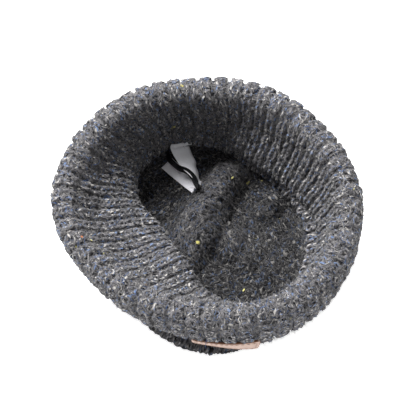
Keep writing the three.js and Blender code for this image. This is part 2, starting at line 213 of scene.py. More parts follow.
def fromTable(table, angle, row):
    a = np.mod(angle / (2 * np.pi) * tableAngles, tableAngles)
    r = np.clip(row * rowSteps, 0, table.shape[1] - 1.0001)
    i, j = np.floor(a).astype(int) % tableAngles, np.floor(r).astype(int)
    u, v = a - np.floor(a), r - j
    if table.ndim == 3:
        u, v = u[..., None], v[..., None]
    k = (i + 1) % tableAngles
    here, ahead = ((table[i, j + n] * (1 - u) + table[k, j + n] * u) for n in (0, 1))
    return here * (1 - v) + ahead * v


def hatPoint(angle, row, lift):  # positive lift is out of the cuff, or up from the inside of the crown
    normal = fromTable(tableNormals, angle, row)
    normal /= np.linalg.norm(normal, axis=-1, keepdims=True)
    return fromTable(tablePoints, angle, row) + normal * np.asarray(lift)[..., None], normal


def stitchPoint(angle, row, lift):
    return hatPoint(angle + fromTable(stitchTurns, angle, row), row, lift)


def restFlat(points):  # presses whatever would reach below the ground flat on it
    z, soft = points[..., 2], 0.0006
    pressed = soft * np.exp((np.minimum(z, soft) - soft) / soft)
    points[..., 2] = np.where(z < soft, pressed, z)
    return points


def rowGirth(row):
    return float(np.interp(row * rowSteps, np.arange(len(rowGirths)), rowGirths))


print("form worked out:", lastRow, "rows")


def newPiece(name, points, faces, material, smooth=True):
    mesh = bpy.data.meshes.new(name)
    mesh.from_pydata(points.tolist(), [], faces)
    mesh.polygons.foreach_set("use_smooth", np.full(len(mesh.polygons), smooth))
    mesh.materials.append(material)
    piece = bpy.data.objects.new(name, mesh)
    scene.collection.objects.link(piece)
    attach(piece, "root")
    return piece


def meshPlaces(mesh):
    places = np.empty(len(mesh.vertices) * 3, np.float32)
    mesh.vertices.foreach_get("co", places)
    return places.reshape(-1, 3).astype(float)


def gridPiece(name, across, along):
    bpy.ops.object.select_all(action="DESELECT")
    bpy.ops.mesh.primitive_grid_add(x_subdivisions=across, y_subdivisions=along, size=1)
    piece = bpy.context.object
    piece.name = piece.data.name = name
    return piece


def applyModifier(piece, kind, **settings):
    modifier = piece.modifiers.new(kind.title(), kind)
    for key, value in settings.items():
        setattr(modifier, key, value)
    bpy.ops.object.modifier_apply(modifier=modifier.name)


def putOnCorners(mesh, name, kind, values):
    data = mesh.attributes.new(name, kind, "CORNER").data
    data.foreach_set("value" if kind == "FLOAT" else "vector", values.astype(np.float32).ravel())


def putBakeUv(mesh, values):
    layer = mesh.uv_layers.new(name="OFBake")
    layer.data.foreach_set("uv", values.astype(np.float32).ravel())


def addNode(tree, kind, inputs=None, **settings):
    node = tree.nodes.new(kind)
    for key, value in settings.items():
        setattr(node, key, value)
    for key, value in (inputs or {}).items():
        if isinstance(value, bpy.types.NodeSocket):
            tree.links.new(value, node.inputs[key])
        else:
            node.inputs[key].default_value = value
    return node


def startMaterial(name, **fixed):
    material = bpy.data.materials.new(name)
    material.use_nodes = True
    tree = material.node_tree
    shader = tree.nodes["Principled BSDF"]
    for key, value in fixed.items():
        shader.inputs[key.replace("_", " ")].default_value = value
    return material, tree, shader


def ramp(tree, factor, stops, interpolation="LINEAR"):
    node = addNode(tree, "ShaderNodeValToRGB", {"Fac": factor})
    node.color_ramp.interpolation = interpolation
    for i, (place, colour) in enumerate(stops):
        stop = node.color_ramp.elements[i] if i < 2 else node.color_ramp.elements.new(place)
        stop.position = place
        stop.color = (*colour, 1) if len(colour) == 3 else colour
    return node.outputs["Color"]


def mixColours(tree, factor, a, b, blend="MIX"):
    node = addNode(tree, "ShaderNodeMix", data_type="RGBA", blend_type=blend)
    for socket, value in ((node.inputs[0], factor), (node.inputs[6], a), (node.inputs[7], b)):
        if isinstance(value, bpy.types.NodeSocket):
            tree.links.new(value, socket)
        else:
            socket.default_value = value if isinstance(value, (int, float)) else (*value, 1)
    return node.outputs[2]


def noiseOn(tree, vector, scales, place=(0, 0, 0), detail=2.0, roughness=0.5):
    moved = addNode(tree, "ShaderNodeMapping", {"Vector": vector, "Scale": scales, "Location": place})
    inputs = {"Vector": moved.outputs[0], "Scale": 1.0, "Detail": detail, "Roughness": roughness}
    return addNode(tree, "ShaderNodeTexNoise", inputs).outputs["Fac"]


def bumpOn(tree, shader, height, strength, distance):
    bump = addNode(tree, "ShaderNodeBump", {"Height": height, "Strength": strength, "Distance": distance})
    tree.links.new(bump.outputs[0], shader.inputs["Normal"])


def objectPlace(tree):
    return addNode(tree, "ShaderNodeTexCoord").outputs["Object"]


def pieceValue(tree, name, output="Fac"):
    return addNode(tree, "ShaderNodeAttribute", attribute_name=name).outputs[output]


def between(tree, value, low, high, least, most):
    inputs = {"Value": value, "From Min": low, "From Max": high, "To Min": least, "To Max": most}
    return addNode(tree, "ShaderNodeMapRange", inputs).outputs[0]


grey = lambda v: (v, v, v * 1.03)
yarnLook = {
    "shadow": (0.022, 0.022, 0.025), "dark": (0.070, 0.070, 0.075), "middle": (0.158, 0.153, 0.159),
    "light": (0.298, 0.286, 0.288), "cream": (0.50, 0.48, 0.455), "blue": (0.15, 0.215, 0.37),
    "char": (0.010, 0.010, 0.013), "yellow": (0.52, 0.47, 0.15), "rust": (0.35, 0.12, 0.04),
    "streak": (500, 1050, 1050), "fleck": (360, 620, 620), "looseStreak": (1500, 1500, 1500),
    "looseFleck": (900, 900, 900), "bump": 0.8, "bumpDepth": 0.0012, "plyShare": 0.22,
    "heightPaintedLight": (0.006, 0.018, 0.74, 2.6), "outside": (-0.0006, 0.0001, 4.0, 1.0),
    "shades": (("shadow", 0.34), ("dark", 0.43), ("middle", 0.53), ("light", 0.66)),
    "marks": (("char", (3.1, 0.4, 0.2), 0.575, 0.61), ("blue", (7.3, 1.9, 4.2), 0.63, 0.655),
              ("cream", (11.7, 3.3, 8.1), 0.615, 0.65)),
    "dots": (("yellow", (21, 5, 2), 0.86), ("rust", (31, 6, 9), 0.93)), "dot": (190, 190, 190),
}


def tweedMaterial(name, source, gain=1.0):  # source is the yarn's own run, or the object's coordinates
    material, tree, shader = startMaterial(name, Roughness=0.95, Sheen_Weight=0.22 * gain ** 0.5,
                                           Sheen_Roughness=0.5, Specular_IOR_Level=0.12)
    look = yarnLook
    objectAt = objectPlace(tree)
    if source == "yarn":
        run = pieceValue(tree, "yarnRun", "Vector")
        streak, fleck = look["streak"], look["fleck"]
    else:
        run = objectAt
        streak, fleck = look["looseStreak"], look["looseFleck"]
    if gain < 0.2:  # longer fibres show in the plain crown
        streak, fleck = tuple(v * 0.8 for v in streak), tuple(v * 0.7 for v in fleck)
    fibres = noiseOn(tree, run, streak, detail=3, roughness=0.65)
    broad = noiseOn(tree, objectAt, (38, 38, 38), (1, 2, 3), detail=2)
    tone = ramp(tree, broad, [(0.3, grey(0.78 * gain)), (0.7, grey(1.0 * gain))])
    if gain < 0.3:  # painted light and shade: the crown's wool is painted darker low down and lighter on top of the folds, by height
        height = addNode(tree, "ShaderNodeSeparateXYZ", {0: objectAt}).outputs["Z"]
        tone = mixColours(tree, 1.0, tone, between(tree, height, *look["heightPaintedLight"]), "MULTIPLY")
        if source == "yarn":  # painted shade: the yarn's outer side is lifted four times out of the crown's painted shade, so only its inside stays darkened
            inward = addNode(tree, "ShaderNodeSeparateXYZ", {0: run}).outputs["Z"]
            tone = mixColours(tree, 1.0, tone, between(tree, inward, *look["outside"]), "MULTIPLY")
    # the flecks are dimmed with the gain, more mildly; in the crown this carries the painted shade onto them too
    fleckGain = gain ** 0.62
    colour = ramp(tree, fibres, [(place, look[key]) for key, place in look["shades"]])
    colour = mixColours(tree, 1.0, colour, tone, "MULTIPLY")
    for key, place, low, high in look["marks"]:
        spots = ramp(tree, noiseOn(tree, run, fleck, place, detail=1.5), [(low, (0, 0, 0)), (high, (1, 1, 1))])
        colour = mixColours(tree, spots, colour, tuple(v * fleckGain for v in look[key]))
    for key, place, low in look["dots"]:
        spots = noiseOn(tree, objectAt, look["dot"], place, detail=0)
        spots = ramp(tree, spots, [(low, (0, 0, 0)), (low + 0.02, (1, 1, 1))])
        colour = mixColours(tree, spots, colour, look[key])
    tree.links.new(colour, shader.inputs["Base Color"])
    height = fibres
    if source == "yarn":
        twist = pieceValue(tree, "yarnTwist")
        plies = addNode(tree, "ShaderNodeMath", {0: twist}, operation="SINE").outputs[0]
        inputs = {0: plies, 1: look["plyShare"], 2: fibres}
        height = addNode(tree, "ShaderNodeMath", inputs, operation="MULTIPLY_ADD").outputs[0]
    bumpOn(tree, shader, height, look["bump"], look["bumpDepth"])
    return material


# painted shade: the crown's yarn and ground are darkened copies of the same tweed (gains 0.165 and 0.25 against 0.80
# and 0.60), standing in for the shade deep inside the crown
yarnMaterial = tweedMaterial("tweedYarn", "yarn", 0.80)
crownShadedMaterial = tweedMaterial("shadedCrownTweed", "yarn", 0.165)
groundMaterial = tweedMaterial("tweedGround", "object", 0.60)
crownGroundShadedMaterial = tweedMaterial("shadedCrownGroundTweed", "object", 0.25)
print("wool mixed")

# the knitting, a tube of yarn for every row
stitchShape = {
    "segments": 11, "sides": 5, "radius": 0.00155, "loopHeight": 0.95, "spread": 0.22,
    "ribFront": 0.0019, "ribSink": 0.0028, "ribShare": 0.72, "plainFront": 0.0017, "plainLift": 0.0006,
    "wander": 0.0002, "slub": 0.20, "slubRun": 24, "plyPitch": 0.0075, "crownWidth": 0.0048,
    "thinnest": 0.00095, "fill": 0.34, "flatter": ((0.55, 15.5, 3.5), (0.5, 0.5, 1.8)), "gathered": (2.5, 1.5, 0.6),
}
yarnRows = {"cuff_flap_yarn": (1, 14, "cuff"), "cuff_rim_yarn": (14, 26, "cuff"), "wall_yarn": (26, 38, "wall")}
crownStart = 38


def yarnRow(row, angle, halfWidth, side, front, sink, lift):  # one closed row of stitches
    q = stitchShape
    n, m = len(angle), q["segments"]
    t = np.arange(m) / m * 2 * np.pi
    smooth = lambda size: dice.normal(0, 1, n)[:, None] * size + 0 * t
    across = t / (2 * np.pi) - 0.5 + q["spread"] * np.sin(2 * t)
    a = angle[:, None] + 2 * halfWidth[:, None] * (across + smooth(0.04))
    r = row - q["loopHeight"] * np.cos(t)[None] + smooth(0.07) + 0.05 * dice.normal(0, 1, (n, m))
    z = side[:, None] * (front * (1 - np.cos(2 * t)) / 2 + sink * np.sin(t / 2) ** 2) + lift
    z = z + dice.normal(0, q["wander"], (n, m)) + smooth(q["wander"])
    return stitchPoint(a.ravel(), np.clip(r.ravel(), 0.0, lastRow - 0.05), z.ravel())


def yarnPiece(name, rows, material):
    q = stitchShape
    points, faces, bakeUv, runs, twists = [], [], [], [], []
    grid = math.ceil(math.sqrt(sum(len(stitches["angle"]) for stitches, gauge in rows)))
    start = cell = 0
    m, k = q["segments"], q["sides"]
    turn = np.arange(k) / k * 2 * np.pi
    for number, (stitches, gauge) in enumerate(rows):
        centre, normal = yarnRow(**stitches)
        n = len(centre)
        ahead = np.roll(centre, -1, 0) - np.roll(centre, 1, 0)
        sideways = np.cross(ahead, normal)
        sideways /= np.linalg.norm(sideways, axis=1, keepdims=True)
        up = np.cross(sideways, ahead)
        up /= np.linalg.norm(up, axis=1, keepdims=True)
        knots = np.arange(0, n + q["slubRun"], q["slubRun"])
        slub = np.interp(np.arange(n), knots, 1 + q["slub"] * dice.normal(0, 1, len(knots)))
        radius = np.clip(gauge * q["fill"], q["thinnest"], q["radius"]) * np.clip(slub, 0.75, 1.3)
        ring = np.cos(turn)[None, :, None] * sideways[:, None] + np.sin(turn)[None, :, None] * up[:, None]
        points.append((centre[:, None] + radius[:, None, None] * ring).reshape(-1, 3))
        i, j = np.meshgrid(np.arange(n), np.arange(k), indexing="ij")
        i2, j2 = (i + 1) % n, (j + 1) % k
        quads = np.stack([i * k + j, i * k + j2, i2 * k + j2, i2 * k + j], -1) + start
        faces.append(quads.reshape(-1, 4))
        start += n * k
        steps = np.linalg.norm(np.roll(centre, -1, 0) - centre, axis=1)
        along = np.concatenate([[0], np.cumsum(steps)])
        ci, cj = np.stack([i, i, i + 1, i + 1], -1), np.stack([j, j + 1, j + 1, j], -1)
        turnAt, thick = cj / k * 2 * np.pi, radius[ci % n]
        run = [along[ci] + number * 1.37, thick * np.cos(turnAt) + number * 0.031, thick * np.sin(turnAt)]
        runs.append(np.stack(run, -1).reshape(-1, 3))
        twists.append((2 * turnAt + along[ci] / q["plyPitch"] * 2 * np.pi).ravel())
        which = cell + i[..., None] // m
        u = (which % grid + 0.08 + 0.84 * (ci - (i[..., None] // m) * m) / m) / grid
        v = (which // grid + 0.08 + 0.84 * cj / k) / grid
        bakeUv.append(np.stack([u, v], -1).reshape(-1, 2))
        cell += n // m
    piece = newPiece(name, restFlat(np.concatenate(points)), np.concatenate(faces).tolist(), material)
    putBakeUv(piece.data, np.concatenate(bakeUv))
    putOnCorners(piece.data, "yarnRun", "FLOAT_VECTOR", np.concatenate(runs))
    putOnCorners(piece.data, "yarnTwist", "FLOAT", np.concatenate(twists))
    print(name, "knitted:", len(piece.data.polygons) * 2, "triangles")


def ribRelief(row):  # pulled flatter round the rim and along the free edge
    relief = 1
    for depth, middle, spread in stitchShape["flatter"]:
        relief = relief - depth * np.exp(-((row - middle) / spread) ** 2)
    return relief


def ribRow(row):
    q, wales = stitchShape, knitRows["wales"]
    j = np.arange(wales)
    even = j % 2 == 0
    share = q["ribShare"]
    halfWidth = np.where(even, share, 1 - share) * 2 * np.pi / wales
    gauge = np.full(wales * q["segments"], rowGirth(row) / wales)
    relief = ribRelief(row)
    stitches = {"row": row, "angle": j / wales * 2 * np.pi, "halfWidth": halfWidth, "side": np.where(even, 1.0, -1.0),
                "front": q["ribFront"] * relief, "sink": q["ribSink"] * relief, "lift": 0.0}
    return stitches, gauge


def plainRow(row):
    q, girth = stitchShape, rowGirth(row)
    n = int(np.clip(round(girth / 8 / q["crownWidth"]), 1, 13)) * 8  # eight wedges
    stitches = {"row": row, "angle": (np.arange(n) + 0.5) / n * 2 * np.pi, "halfWidth": np.full(n, np.pi / n),
                "side": np.full(n, -1.0), "front": q["plainFront"], "sink": 0.0, "lift": q["plainLift"]}
    return stitches, np.full(n * q["segments"], girth / n)


for name, (low, high, node) in yarnRows.items():
    yarnPiece(name, [ribRow(r) for r in range(low, high)], yarnMaterial)
crownRows = [*range(crownStart, lastRow), *(lastRow - back for back in stitchShape["gathered"])]
yarnPiece("crown_yarn", [plainRow(r) for r in crownRows], crownShadedMaterial)


# the close felted ground behind the yarn
groundLook = {"thick": 0.0016, "crownThick": 0.0012, "rib": 0.0014, "sharp": 2.4, "bias": 0.9, "sections": 416,
              "crownSections": 104, "overlap": 37.5, "rows": (0.6, 37.2), "crownRow": 36.8}


def groundPiece(name, rows, count, thickness, closed, material):
    q, m = groundLook, len(rows)
    a, r = np.meshgrid(np.arange(count) / count * 2 * np.pi, rows, indexing="ij")
    wave = np.tanh(q["sharp"] * np.cos(a * knitRows["wales"] / 2) + q["bias"])
    ribs = q["rib"] * ribRelief(r) * wave * np.clip((q["overlap"] - r) / 2, 0, 1)
    layers = [stitchPoint(a, r, ribs + lift)[0] for lift in (thickness / 2, -thickness / 2)]
    points = restFlat(np.concatenate([layer.reshape(-1, 3) for layer in layers]))
    i, j = np.meshgrid(np.arange(count), np.arange(m - 1), indexing="ij")
    i2 = (i + 1) % count
    top = np.stack([i * m + j, i2 * m + j, i2 * m + j + 1, i * m + j + 1], -1).reshape(-1, 4)
    first = np.arange(count) * m
    first2, last = np.roll(first, -1), first + m - 1
    last2, under = np.roll(last, -1), count * m
    faces = [top, top[:, ::-1] + under, np.stack([first + under, first2 + under, first2, first], -1)]
    if not closed:
        faces.append(np.stack([last, last2, last2 + under, last + under], -1))
    quads = np.concatenate(faces).tolist()
    if closed:
        quads += [last.tolist(), (last + under)[::-1].tolist()]
    piece = newPiece(name, points, quads, material)
    return piece


cuffGround = groundPiece("cuff_ground", np.arange(*groundLook["rows"], 1.0), groundLook["sections"],
                         groundLook["thick"], False, groundMaterial)
crownGroundRows = np.concatenate([np.arange(groundLook["crownRow"], lastRow - 1, 1.0), [lastRow - 0.6]])
crownGround = groundPiece("crown_ground", crownGroundRows, groundLook["crownSections"], groundLook["crownThick"],
                          True, crownGroundShadedMaterial)
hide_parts("cuff", "wall")
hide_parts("crown")
print("ground laid")

# loose fibres standing out of the wool
fuzzLook = {
    "cuffCount": 64000, "crownCount": 16000, "length": (0.0018, 0.0050), "width": (0.00014, 0.00036), "stand": 0.5,
    "bend": 0.25, "facing": 0.82, "cuffFront": 0.0036, "crownFront": 0.0024, "cuffGain": 0.78, "crownShadeGain": 0.3,
    "grey": (0.22, 0.218, 0.22), "blue": (0.07, 0.13, 0.30), "firstRow": 0.4, "crownRow": 37.5,
}


def fuzzMaterial(name, gain):
    material, tree, shader = startMaterial(name, Roughness=0.85, Sheen_Weight=0.3, Specular_IOR_Level=0.2)
    look = yarnLook
    stops = [(0.0, look["middle"]), (0.34, fuzzLook["grey"]), (0.56, look["light"]), (0.76, look["cream"]),
             (0.84, fuzzLook["blue"]), (0.91, look["dark"])]
    stops = [(place, tuple(v * gain for v in colour)) for place, colour in stops]
    tree.links.new(ramp(tree, pieceValue(tree, "fibreTone"), stops, "CONSTANT"), shader.inputs["Base Color"])
    return material


def fuzzPiece(name, count, lowRow, highRow, front, material):
    q = fuzzLook
    angle = dice.uniform(0, 2 * np.pi, count)
    row = dice.uniform(lowRow, highRow, count)
    if highRow > rowMarks[-1]:  # fewer towards the middle of the crown, so that they lie evenly
        keep = dice.uniform(0, 1, count) < np.clip((lastRow - row) / knitRows["floor"] + 0.05, 0, 1)
        angle, row, count = angle[keep], row[keep], int(keep.sum())
    side = np.where(dice.uniform(0, 1, count) < q["facing"], 1.0, -1.0)
    start, normal = stitchPoint(angle, row, side * dice.uniform(front * 0.55, front, count))
    normal *= side[:, None]
    ahead = np.cross(normal, dice.normal(0, 1, (count, 3)))
    ahead /= np.linalg.norm(ahead, axis=1, keepdims=True)
    length = dice.uniform(*q["length"], count)[:, None]
    width = dice.uniform(*q["width"], count)[:, None] / 2
    stand = np.abs(dice.normal(0, q["stand"], (count, 1)))
    across = np.cross(normal, ahead)
    bend = across * dice.normal(0, q["bend"], (count, 1))
    middle = start + length * (0.5 * ahead + 0.5 * stand * normal + 0.3 * bend)
    tip = start + length * (ahead + 0.7 * stand * normal + bend)
    points = np.stack([start - across * width, start + across * width, middle + across * width * 0.8,
                       middle - across * width * 0.8, tip], 1)
    foot, end = [0, 1, 2, 3], [3, 2, 4]
    at = np.arange(count)[:, None] * 5
    faces = (at + foot).tolist() + (at + end).tolist()
    piece = newPiece(name, restFlat(points.reshape(-1, 3)), faces, material, smooth=False)
    tone = dice.uniform(0, 1, count)
    putOnCorners(piece.data, "fibreTone", "FLOAT", np.concatenate([np.repeat(tone, 4), np.repeat(tone, 3)]))
    grid = math.ceil(math.sqrt(count))
    cells = np.stack([np.arange(count) % grid, np.arange(count) // grid], -1)
    corner = np.array([[0.2, 0.2], [0.8, 0.2], [0.8, 0.5], [0.2, 0.5], [0.5, 0.8]])
    uv = (cells[:, None] + corner[None]) / grid
    putBakeUv(piece.data, np.concatenate([uv[:, foot].reshape(-1, 2), uv[:, end].reshape(-1, 2)]))
    print(name, "laid:", count, "fibres")


fuzzPiece("cuff_fuzz", fuzzLook["cuffCount"], fuzzLook["firstRow"], fuzzLook["crownRow"],
          fuzzLook["cuffFront"], fuzzMaterial("looseFibres", fuzzLook["cuffGain"]))
# painted shade: the crown's fibres are a darkened copy of the cuff's, standing in for the shade inside the crown
fuzzPiece("crown_fuzz", fuzzLook["crownCount"], fuzzLook["crownRow"], lastRow - 0.5,
          fuzzLook["crownFront"], fuzzMaterial("shadedCrownFibres", fuzzLook["crownShadeGain"]))

# neps, the small coloured lumps spun into the wool
nepLook = {
    "colours": {"yellow": (0.62, 0.58, 0.20), "orange": (0.42, 0.20, 0.08), "white": (0.72, 0.71, 0.70)},
    "odds": (0.55, 0.15, 0.30), "scattered": 46, "size": (0.0010, 0.0026), "ribLift": 0.0030, "crownLift": 0.0025,
    "broad": 0.5, "flat": 0.35, "rough": 0.10, "wool": (1500, 1500, 1500),
}


def nepPiece():
    q = nepLook
    keys = list(q["colours"])
    rows = np.arange(1.0, lastRow - 1)
    chance = np.array([rowGirth(row) for row in rows])  # so that they lie evenly
    angle = dice.uniform(0, 2 * np.pi, q["scattered"])
    row = dice.choice(rows, q["scattered"], p=chance / chance.sum())
    kind = dice.choice(len(keys), q["scattered"], p=q["odds"])
    size = dice.uniform(*q["size"], q["scattered"])
    bpy.ops.object.select_all(action="DESELECT")
    bpy.ops.mesh.primitive_ico_sphere_add(subdivisions=2, radius=0.5)
    piece = bpy.context.object
    piece.name = piece.data.name = "wool_neps"
    ball = meshPlaces(piece.data)
    faces = np.array([list(face.vertices) for face in piece.data.polygons])
    places, normals = stitchPoint(angle, row, np.where(row < rowMarks[3], q["ribLift"], q["crownLift"]))
    points, tones = [], []
    for number, (place, normal) in enumerate(zip(places, normals)):
        along = np.cross(normal, dice.normal(0, 1, 3))
        along /= np.linalg.norm(along)
        across = np.cross(normal, along)
        rough = ball * (1 + dice.normal(0, q["rough"], (len(ball), 1)))
        lump = rough[:, :1] * along + q["broad"] * rough[:, 1:2] * across + q["flat"] * rough[:, 2:] * normal
        points.append(place + size[number] * lump)
        tones += [(kind[number] + 0.5) / len(keys)] * len(faces) * 3
    faces = np.concatenate([faces + i * len(ball) for i in range(len(places))])
    mesh = piece.data
    mesh.clear_geometry()
    mesh.from_pydata(np.concatenate(points).tolist(), [], faces.tolist())
    mesh.polygons.foreach_set("use_smooth", np.full(len(mesh.polygons), True))
    putOnCorners(mesh, "nepTone", "FLOAT", np.array(tones))
    material, tree, shader = startMaterial("dyedNeps", Roughness=0.9, Sheen_Weight=0.3)
    stops = [(i / len(keys), q["colours"][key]) for i, key in enumerate(keys)]
    colour = ramp(tree, pieceValue(tree, "nepTone"), stops, "CONSTANT")
    wool = ramp(tree, noiseOn(tree, objectPlace(tree), q["wool"]), [(0.35, (0.45, 0.45, 0.45)), (0.6, (1, 1, 1))])
    colour = mixColours(tree, 1.0, colour, wool, "MULTIPLY")
    tree.links.new(colour, shader.inputs["Base Color"])
    mesh.materials.append(material)
    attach(piece, "root")
    print("neps spun in:", len(places))


nepPiece()

# leather patch on the cuff
patchLook = {
    "width": 0.041, "height": 0.019, "thick": 0.0014, "rise": 0.0024, "angle": 278.0, "lift": 0.0041,
    "tilt": 0.0020, "corner": 0.0018, "endRise": 0.0030, "face": (0.43, 0.30, 0.245), "edge": (0.24, 0.11, 0.06),
    "thread": (0.42, 0.30, 0.24), "bevel": 0.0003, "edgeWidth": 0.0004, "seamIn": 0.0019, "creaseWidth": 0.0005,
    "crease": 0.00018, "stitchPitch": 0.0030, "stitchLength": 0.0021, "stitchThick": 0.00028,
    "stitchLift": 0.00012, "stitchSag": 0.00016,
}


def flatToCuff(flat):  # x along the cuff, y up from its free edge, z out of it
    q = patchLook
    middle = math.radians(q["angle"])
    at = np.array([middle])
    rim = float((oval(at, hatForm["rimWidth"], hatForm["rimDepth"]) * column("rim", at))[0])
    angle = middle + flat[:, 0] / (rim + turnWidth / 2 + q["lift"])
    low, high = (hatPoint(angle, np.full(len(angle), row), 0.0)[0] for row in (1.0, 9.0))
    perRow = np.linalg.norm(high - low, axis=1) / 8
    rise = flat[:, 1] + q["endRise"] * (flat[:, 0] / (q["width"] / 2)) ** 2
    out = q["lift"] + flat[:, 2] + q["tilt"] * (1 - flat[:, 1] / q["height"])  # stiff, so its lower edge stands off
    return hatPoint(angle, rise / perRow, out)[0]


def leatherMaterial():
    material, tree, shader = startMaterial("tanLeather", Roughness=0.55, Specular_IOR_Level=0.35)
    at = objectPlace(tree)
    grain = noiseOn(tree, at, (260, 260, 1500), detail=4, roughness=0.6)
    pores = noiseOn(tree, at, (2400, 2400, 2400), (3, 1, 2))
    q = patchLook
    deep = tuple(v * 0.72 for v in q["face"])
    pale = tuple(min(v * 1.25, 1) for v in q["face"])
    colour = ramp(tree, grain, [(0.32, deep), (0.5, q["face"]), (0.7, pale)])
    colour = mixColours(tree, pieceValue(tree, "border"), colour, q["edge"])
    tree.links.new(colour, shader.inputs["Base Color"])
    height = addNode(tree, "ShaderNodeMath", {0: grain, 1: 0.5, 2: pores}, operation="MULTIPLY_ADD").outputs[0]
    bumpOn(tree, shader, height, 0.35, 0.0004)
    return material


def patchPiece():
    q = patchLook
    piece = gridPiece("leather_patch", 56, 26)
    mesh, half = piece.data, np.array([q["width"], q["height"]]) / 2
    flat = meshPlaces(mesh) * [q["width"], q["height"], 0]
    over = np.abs(flat[:, :2]) - (half - q["corner"])
    corner = (over > 0).all(1)
    squeeze = over[corner].max(1) / np.hypot(*over[corner].T)
    flat[corner, :2] += np.sign(flat[corner, :2]) * over[corner] * (squeeze[:, None] - 1)
    mesh.vertices.foreach_set("co", flat.astype(np.float32).ravel())
    applyModifier(piece, "SOLIDIFY", thickness=q["thick"], offset=1)
    applyModifier(piece, "BEVEL", width=q["bevel"], segments=2, limit_method="ANGLE", angle_limit=1.0)
    flat = meshPlaces(mesh)
    inset = (half - np.abs(flat[:, :2])).min(1)
    border = np.clip(1.2 - inset / q["edgeWidth"], 0, 1)
    mesh.attributes.new("border", "FLOAT", "POINT").data.foreach_set("value", border.astype(np.float32))
    groove = np.exp(-((inset - q["seamIn"]) / q["creaseWidth"]) ** 2)
    flat[:, 2] -= q["crease"] * groove * (flat[:, 2] > q["thick"] / 2)
    flat[:, 1] += q["rise"] + q["height"] / 2
    mesh.vertices.foreach_set("co", flatToCuff(flat).astype(np.float32).ravel())
    mesh.polygons.foreach_set("use_smooth", np.full(len(mesh.polygons), True))
    mesh.materials.append(leatherMaterial())
    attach(piece, "root")
    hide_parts("patch")


def threadMaterial():
    material, tree, shader = startMaterial("tanThread", Roughness=0.7)
    twist = noiseOn(tree, objectPlace(tree), (1800, 1800, 1800))
    stops = [(0.3, tuple(v * 0.7 for v in patchLook["thread"])), (0.7, patchLook["thread"])]
    tree.links.new(ramp(tree, twist, stops), shader.inputs["Base Color"])
    return material


def patchStitches():
    q = patchLook
    halfX, halfY = q["width"] / 2 - q["seamIn"], q["height"] / 2 - q["seamIn"]
    line = []
    for reach, fixed, axis in ((halfX, -halfY, 0), (halfX, halfY, 0), (halfY, -halfX, 1), (halfY, halfX, 1)):
        count = round(2 * reach / q["stitchPitch"])
        for place in -reach + (np.arange(count) + 0.5) * (2 * reach) / count:
            line.append((place, fixed, axis))
    rings, sides = 5, 6
    turn = np.arange(sides) / sides * 2 * np.pi
    along = np.linspace(-1, 1, rings)
    bulk = np.sqrt(np.clip(1.04 - along ** 2, 0, 1))[:, None] * q["stitchThick"]
    b, c = (bulk * np.cos(turn)).ravel(), (bulk * np.sin(turn)).ravel()
    a, sag = np.repeat(along * q["stitchLength"] / 2, sides), -q["stitchSag"] * np.repeat(along, sides) ** 2
    points, faces = [], []
    for number, (place, fixed, axis) in enumerate(line):
        x, y = (place + a, fixed + b) if axis == 0 else (fixed + b, place + a)
        z = q["thick"] + q["stitchLift"] + c * 0.9 + sag
        points.append(np.stack([x, y + q["rise"] + q["height"] / 2, z], -1))
        base = number * rings * sides
        for i in range(base, base + (rings - 1) * sides, sides):
            for j in range(sides):
                k = (j + 1) % sides
                quad = [i + j, i + k, i + sides + k, i + sides + j]
                faces.append(quad if axis == 1 else quad[::-1])
        first, last = list(range(base, base + sides)), list(range(base + (rings - 1) * sides, base + rings * sides))
        faces += [first[::-1], last] if axis == 1 else [first, last[::-1]]
    piece = newPiece("patch_stitches", flatToCuff(np.concatenate(points)), faces, threadMaterial())


patchPiece()
patchStitches()
print("patch sewn on")

# Labels. Their lines start at the sewn end: across and along are shares of half the base,
# up is a share of the rim's rise and tip is in degrees.
labelLook = {
    "care_label": {"width": 0.015, "length": 0.037, "curl": 0.0020, "colour": (0.93, 0.93, 0.97), "line": (
        (-0.110, 0.620, 0.150, 250), (-0.168, 0.685, 0.205, 230), (-0.232, 0.755, 0.245, 214),
        (-0.290, 0.850, 0.255, 206), (-0.337, 0.935, 0.282, 204))},
    "ribbon_label": {"width": 0.010, "length": 0.041, "curl": 0.0, "colour": (0.004, 0.004, 0.005), "line": (
        (-0.150, 0.480, 0.236, 98), (-0.158, 0.560, 0.250, 100), (-0.245, 0.662, 0.268, 86),
        (-0.370, 0.728, 0.262, 82), (-0.460, 0.830, 0.262, 96), (-0.470, 0.925, 0.275, 100))},
    "size_label": {"width": 0.010, "length": 0.033, "curl": 0.0, "colour": (0.93, 0.92, 0.97), "line": (
        (-0.118, 0.552, 0.142, -14), (-0.240, 0.658, 0.124, -12), (-0.366, 0.762, 0.120, -13),
        (-0.488, 0.862, 0.130, -16))},
}
clothLook = {"thick": 0.0004, "ripple": 0.0002, "cup": 0.05, "across": 10, "steps": 6}


def labelMaterial(name, colour):
    shine = 0.4 if colour[0] > 0.1 else 0.12
    material, tree, shader = startMaterial(name, Roughness=0.6, Specular_IOR_Level=shine)
    at = addNode(tree, "ShaderNodeUVMap", uv_map="cloth").outputs["UV"]
    waves = []
    for direction, scale in (("X", 1.6), ("Y", 2.1)):
        inputs = {"Vector": at, "Scale": scale, "Distortion": 0.4, "Detail": 1.0}
        waves.append(addNode(tree, "ShaderNodeTexWave", inputs, bands_direction=direction).outputs["Fac"])
    weave = addNode(tree, "ShaderNodeMath", {0: waves[0], 1: waves[1]}, operation="MULTIPLY").outputs[0]
    dim = tuple(v * 0.88 for v in colour)
    tree.links.new(ramp(tree, weave, [(0.1, dim), (0.7, colour)]), shader.inputs["Base Color"])
    creases = noiseOn(tree, at, (0.35, 0.16, 1))
    height = addNode(tree, "ShaderNodeMath", {0: creases, 1: 3.0, 2: weave}, operation="MULTIPLY_ADD").outputs[0]
    bumpOn(tree, shader, height, 0.5, 0.0002)
    return material


def runOf(middle):
    ahead = np.gradient(middle, axis=0)
    return ahead / np.linalg.norm(ahead, axis=1, keepdims=True)


